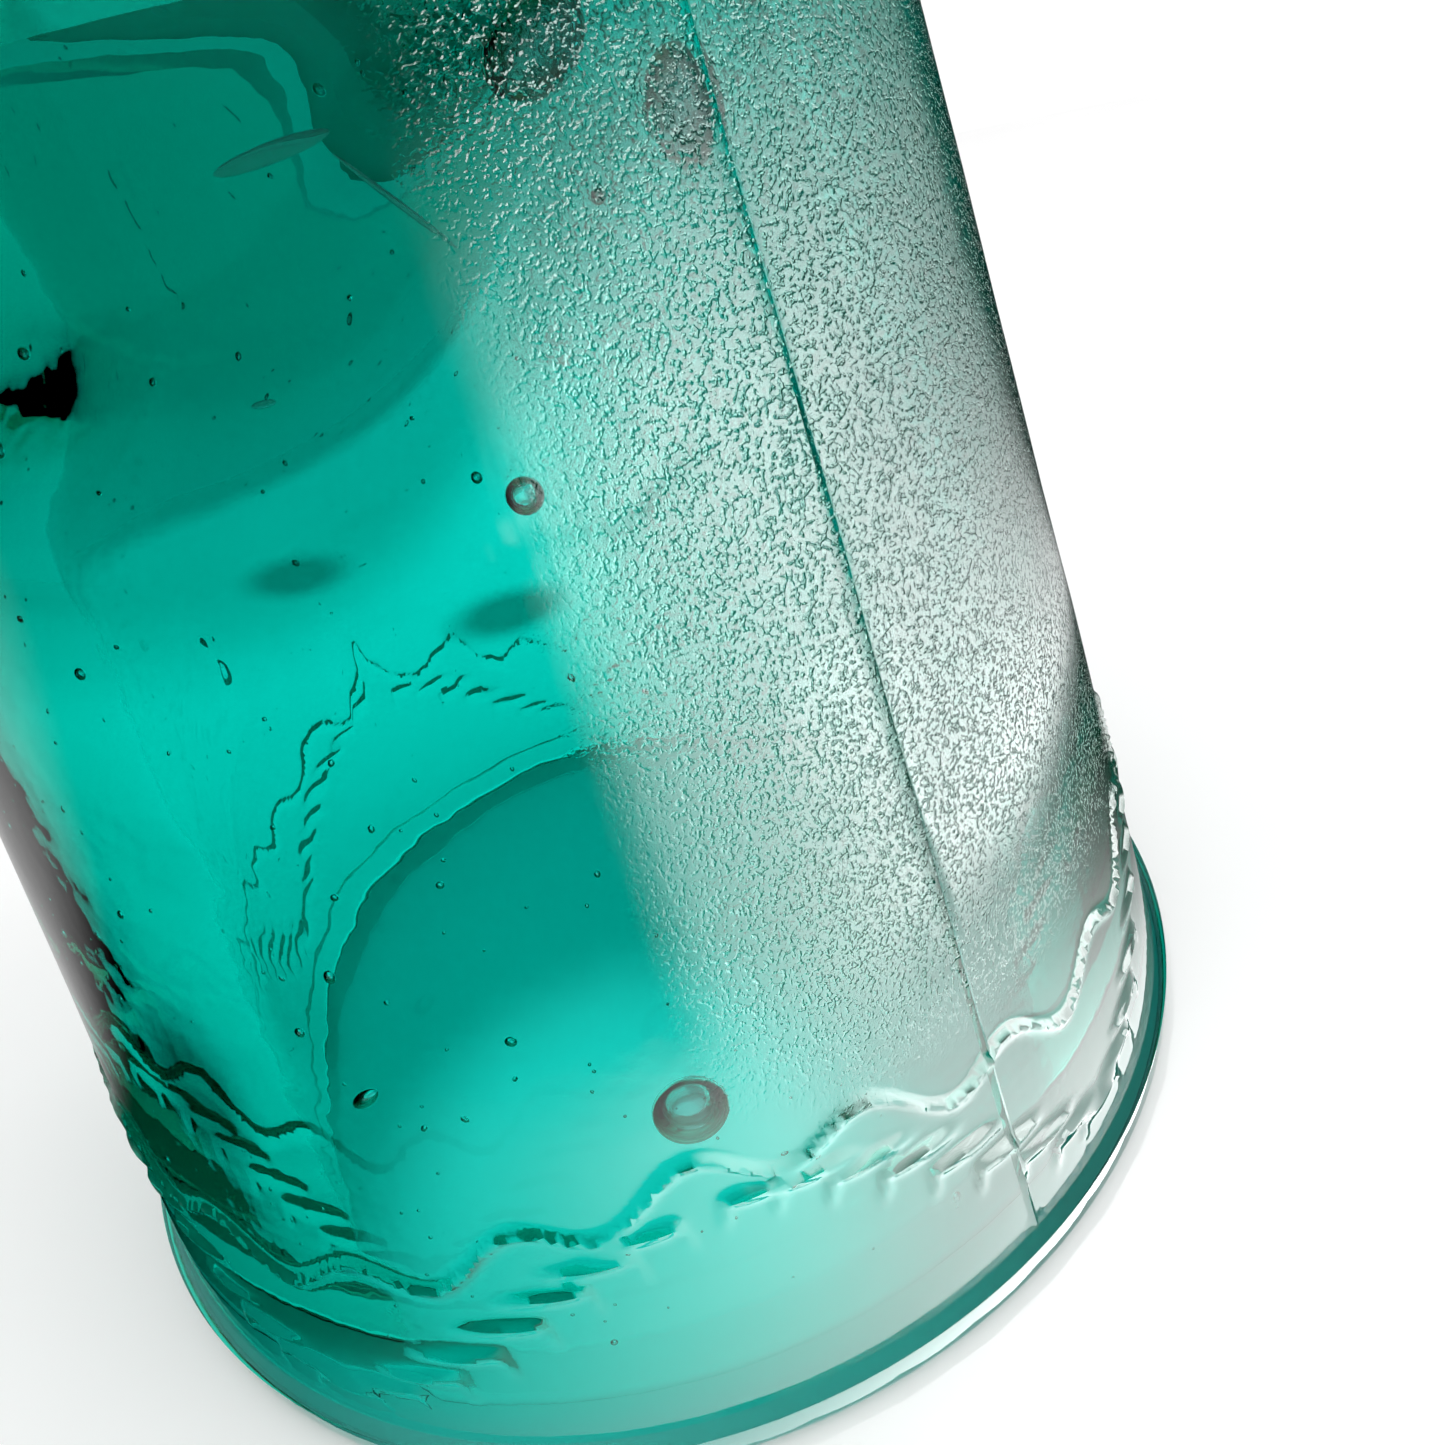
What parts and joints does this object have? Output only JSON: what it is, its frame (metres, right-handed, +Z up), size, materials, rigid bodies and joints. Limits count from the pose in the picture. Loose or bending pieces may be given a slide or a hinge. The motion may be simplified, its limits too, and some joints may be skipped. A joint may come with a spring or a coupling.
{
  "type": "pin-type glass insulator",
  "caption": "Tall bell-shaped glass insulator with a flared skirt, wire groove and rounded crown, and a screw-in plastic sleeve whose threaded bore takes a line pin.",
  "frame": {"origin": "centre of the flat rim that the glass stands on", "axes": "+Z up along the axis of the glass, from the rim towards the crown"},
  "size_m": [0.088, 0.088, 0.14],
  "materials": {
    "aqua_glass": "pressed teal glass with seeds, bubbles and a faint orange-peel mould skin",
    "natural_polyethylene": "milky natural polyethylene",
    "ring_rubber": "matt tan rubber"
  },
  "bodies": {
    "glass": {"glass_body": "aqua_glass"},
    "ring": {"seat_ring": "ring_rubber"},
    "sleeve": {"thread_sleeve": "natural_polyethylene"}
  },
  "joints": [
    {"name": "sleeve_travel", "type": "slide", "parent": "glass", "child": "ring", "axis": [0, 0, 1], "range_m": [-0.02223, 0]},
    {"name": "sleeve_turn", "type": "hinge", "parent": "ring", "child": "sleeve", "pos_m": [0, 0, 0.09], "axis": [0, 0, 1], "range_deg": [-1260, 0]}
  ],
  "couplings": [
    {"joint": "sleeve_travel", "follows": "sleeve_turn", "m_per_rad": 0.0010106}
  ]
}
